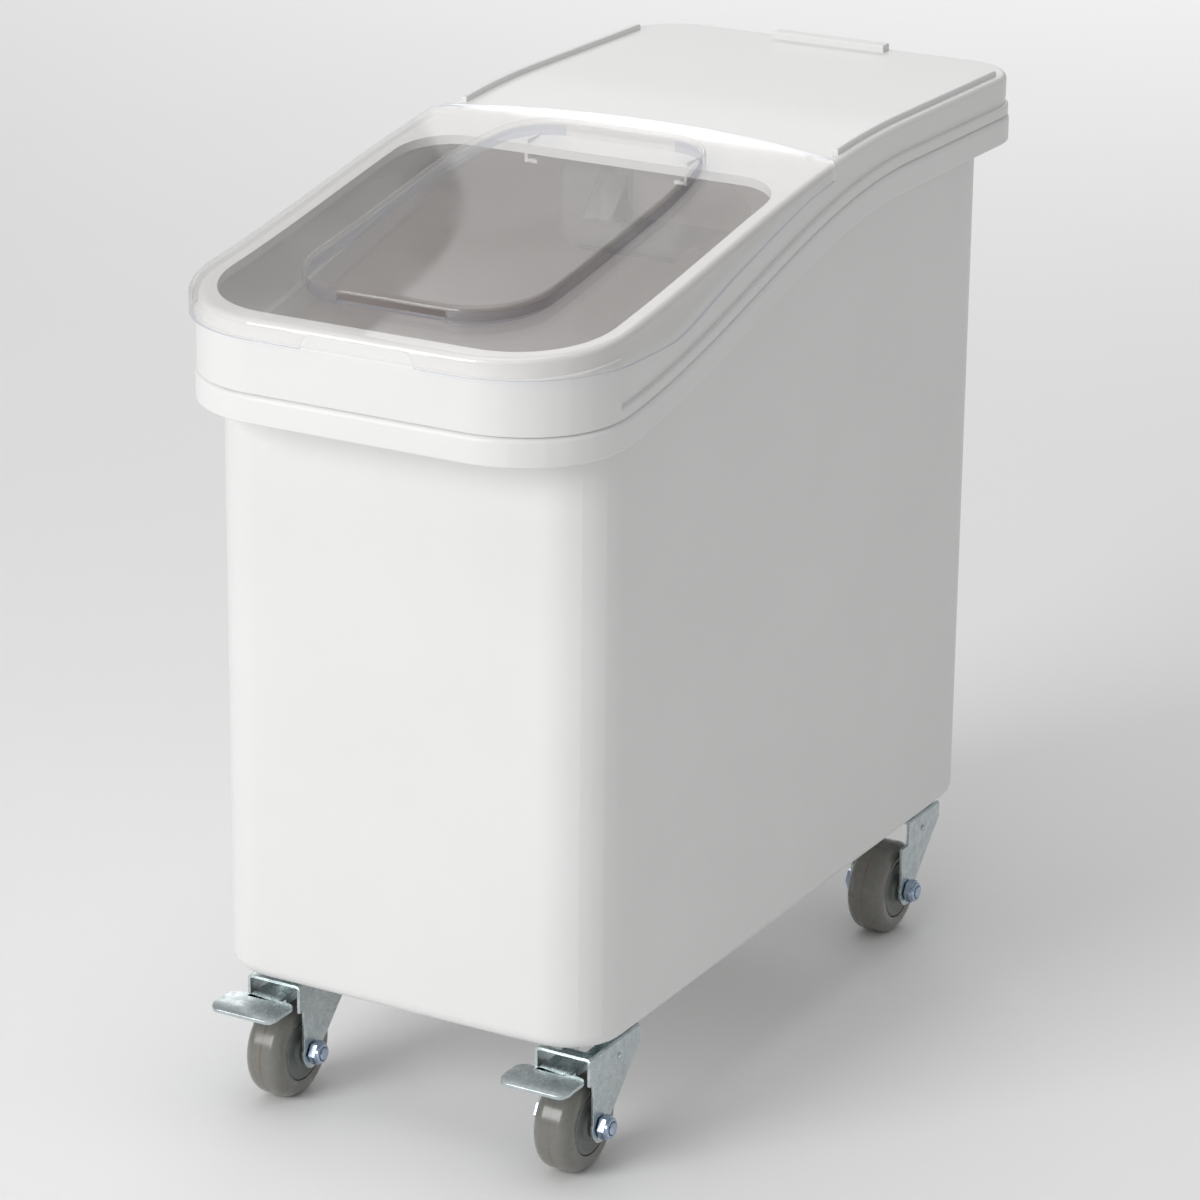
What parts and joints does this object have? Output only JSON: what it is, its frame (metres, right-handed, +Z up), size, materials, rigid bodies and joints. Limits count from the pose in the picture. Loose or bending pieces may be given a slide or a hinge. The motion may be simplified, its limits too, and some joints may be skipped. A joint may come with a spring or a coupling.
{
  "type": "wheeled ingredient bin",
  "caption": "Wheeled storage bin with a press-fit top frame, clear lifting lid, hanging scoop and braked swivel casters.",
  "frame": {"origin": "centre of the overall box at floor level, under the middle of the bin", "axes": "+Z up from the floor, -Y to the front where the opening is, +X to the right when seen from behind"},
  "size_m": [0.352, 0.747, 0.717],
  "materials": {
    "tub_plastic": "satin moulded polyethylene",
    "frame_plastic": "satin moulded plastic",
    "lid_clear": "clear polycarbonate, glossy",
    "scoop_clear": "clear polycarbonate, glossy",
    "zinc_plate": "bright zinc plate",
    "zinc_fork": "bright zinc plate, pressed sheet",
    "zinc_pedal": "bright zinc plate, pressed sheet",
    "blue_zinc": "blue passivated zinc",
    "hub_grey": "satin moulded nylon",
    "tyre_grey": "glossy grey polyurethane"
  },
  "bodies": {
    "bin": {"bin_tub": "tub_plastic", "front_left_plate": "zinc_plate", "front_left_kingpin": "zinc_plate", "front_left_screw_1": "zinc_plate", "front_left_screw_2": "zinc_plate", "front_left_screw_3": "zinc_plate", "front_left_screw_4": "zinc_plate", "front_right_plate": "zinc_plate", "front_right_kingpin": "zinc_plate", "front_right_screw_1": "zinc_plate", "front_right_screw_2": "zinc_plate", "front_right_screw_3": "zinc_plate", "front_right_screw_4": "zinc_plate", "rear_left_plate": "zinc_plate", "rear_left_kingpin": "zinc_plate", "rear_left_screw_1": "zinc_plate", "rear_left_screw_2": "zinc_plate", "rear_left_screw_3": "zinc_plate", "rear_left_screw_4": "zinc_plate", "rear_right_plate": "zinc_plate", "rear_right_kingpin": "zinc_plate", "rear_right_screw_1": "zinc_plate", "rear_right_screw_2": "zinc_plate", "rear_right_screw_3": "zinc_plate", "rear_right_screw_4": "zinc_plate"},
    "frame": {"top_frame": "frame_plastic"},
    "lid": {"sliding_lid": "lid_clear"},
    "scoop": {"scoop": "scoop_clear"},
    "front_left_swivel": {"front_left_fork": "zinc_fork", "front_left_race": "zinc_plate", "front_left_axle_bolt": "blue_zinc", "front_left_axle_nut": "blue_zinc", "front_left_axle_sleeve": "zinc_plate"},
    "front_left_wheel": {"front_left_hub": "hub_grey", "front_left_tyre": "tyre_grey"},
    "front_left_brake": {"front_left_pedal": "zinc_pedal", "front_left_brake_shoe": "zinc_pedal"},
    "front_right_swivel": {"front_right_fork": "zinc_fork", "front_right_race": "zinc_plate", "front_right_axle_bolt": "blue_zinc", "front_right_axle_nut": "blue_zinc", "front_right_axle_sleeve": "zinc_plate"},
    "front_right_wheel": {"front_right_hub": "hub_grey", "front_right_tyre": "tyre_grey"},
    "front_right_brake": {"front_right_pedal": "zinc_pedal", "front_right_brake_shoe": "zinc_pedal"},
    "rear_left_swivel": {"rear_left_fork": "zinc_fork", "rear_left_race": "zinc_plate", "rear_left_axle_bolt": "blue_zinc", "rear_left_axle_nut": "blue_zinc", "rear_left_axle_sleeve": "zinc_plate"},
    "rear_left_wheel": {"rear_left_hub": "hub_grey", "rear_left_tyre": "tyre_grey"},
    "rear_right_swivel": {"rear_right_fork": "zinc_fork", "rear_right_race": "zinc_plate", "rear_right_axle_bolt": "blue_zinc", "rear_right_axle_nut": "blue_zinc", "rear_right_axle_sleeve": "zinc_plate"},
    "rear_right_wheel": {"rear_right_hub": "hub_grey", "rear_right_tyre": "tyre_grey"}
  },
  "joints": [
    {"name": "top_frame_lift", "type": "slide", "parent": "bin", "child": "frame", "axis": [0, 0, 1], "range_m": [0, 0.15]},
    {"name": "lid_tilt", "type": "hinge", "parent": "frame", "child": "lid", "pos_m": [0, 0.0615, 0.7083], "axis": [-1, 0, 0], "range_deg": [0, 70]},
    {"name": "scoop_slide", "type": "slide", "parent": "frame", "child": "scoop", "axis": [0, -1, 0], "range_m": [0, 0.03]},
    {"name": "front_left_turn", "type": "hinge", "parent": "bin", "child": "front_left_swivel", "pos_m": [-0.126, -0.2365, 0.1], "axis": [0, 0, 1], "continuous": true},
    {"name": "front_left_roll", "type": "hinge", "parent": "front_left_swivel", "child": "front_left_wheel", "pos_m": [-0.126, -0.2705, 0.0385], "axis": [1, 0, 0], "continuous": true},
    {"name": "front_left_brake", "type": "hinge", "parent": "front_left_swivel", "child": "front_left_brake", "pos_m": [-0.126, -0.2645, 0.088], "axis": [1, 0, 0], "range_deg": [0, 6]},
    {"name": "front_right_turn", "type": "hinge", "parent": "bin", "child": "front_right_swivel", "pos_m": [0.126, -0.2365, 0.1], "axis": [0, 0, 1], "continuous": true},
    {"name": "front_right_roll", "type": "hinge", "parent": "front_right_swivel", "child": "front_right_wheel", "pos_m": [0.126, -0.2705, 0.0385], "axis": [1, 0, 0], "continuous": true},
    {"name": "front_right_brake", "type": "hinge", "parent": "front_right_swivel", "child": "front_right_brake", "pos_m": [0.126, -0.2645, 0.088], "axis": [1, 0, 0], "range_deg": [0, 6]},
    {"name": "rear_left_turn", "type": "hinge", "parent": "bin", "child": "rear_left_swivel", "pos_m": [-0.126, 0.2775, 0.1], "axis": [0, 0, 1], "continuous": true},
    {"name": "rear_left_roll", "type": "hinge", "parent": "rear_left_swivel", "child": "rear_left_wheel", "pos_m": [-0.126, 0.2435, 0.0385], "axis": [1, 0, 0], "continuous": true},
    {"name": "rear_right_turn", "type": "hinge", "parent": "bin", "child": "rear_right_swivel", "pos_m": [0.126, 0.2775, 0.1], "axis": [0, 0, 1], "continuous": true},
    {"name": "rear_right_roll", "type": "hinge", "parent": "rear_right_swivel", "child": "rear_right_wheel", "pos_m": [0.126, 0.2435, 0.0385], "axis": [1, 0, 0], "continuous": true}
  ]
}
